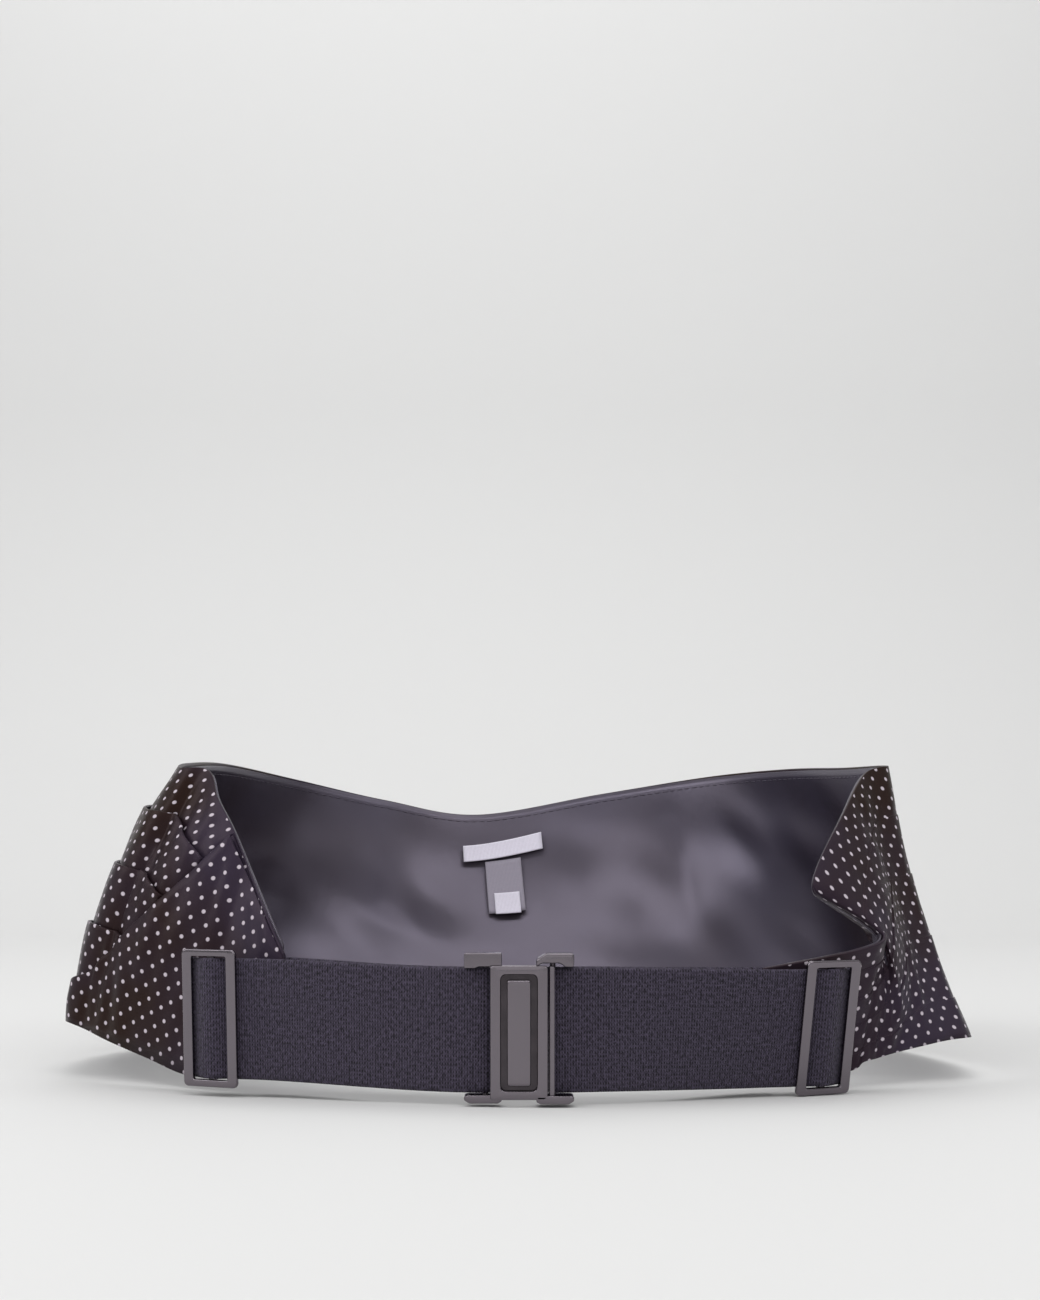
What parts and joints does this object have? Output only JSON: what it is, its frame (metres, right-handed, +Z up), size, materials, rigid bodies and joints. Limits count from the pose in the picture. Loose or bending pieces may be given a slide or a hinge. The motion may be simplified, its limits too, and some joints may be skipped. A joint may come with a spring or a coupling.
{
  "type": "cummerbund",
  "caption": "Pleated satin cummerbund standing as a closed waistband, lined inside, with an elastic back strap, metal adjusters and a hook clasp.",
  "frame": {"origin": "middle of the footprint, on the floor the band stands on", "axes": "+Z up the band's height; -Y towards the clasp at the wearer's back; +Y towards the pleated front; X runs from side to side"},
  "size_m": [0.3196, 0.2532, 0.1112],
  "materials": {
    "satin_dotted": "dark brown-purple satin with pale pin dots",
    "lining_satin": "plain dark satin",
    "label": "pale woven tape, blank",
    "tab": "grey woven tape, blank",
    "elastic": "ribbed elastic, matt",
    "gunmetal": "polished gunmetal plating"
  },
  "bodies": {
    "root": {"pleated_front": "satin_dotted", "lining": "lining_satin", "woven_label": "label", "size_tab": "tab", "care_tab": "label", "strap_left": "elastic", "strap_right": "elastic", "slider_left": "gunmetal", "slider_right": "gunmetal", "clasp_hook": "gunmetal", "clasp_eye": "gunmetal"}
  },
  "joints": []
}
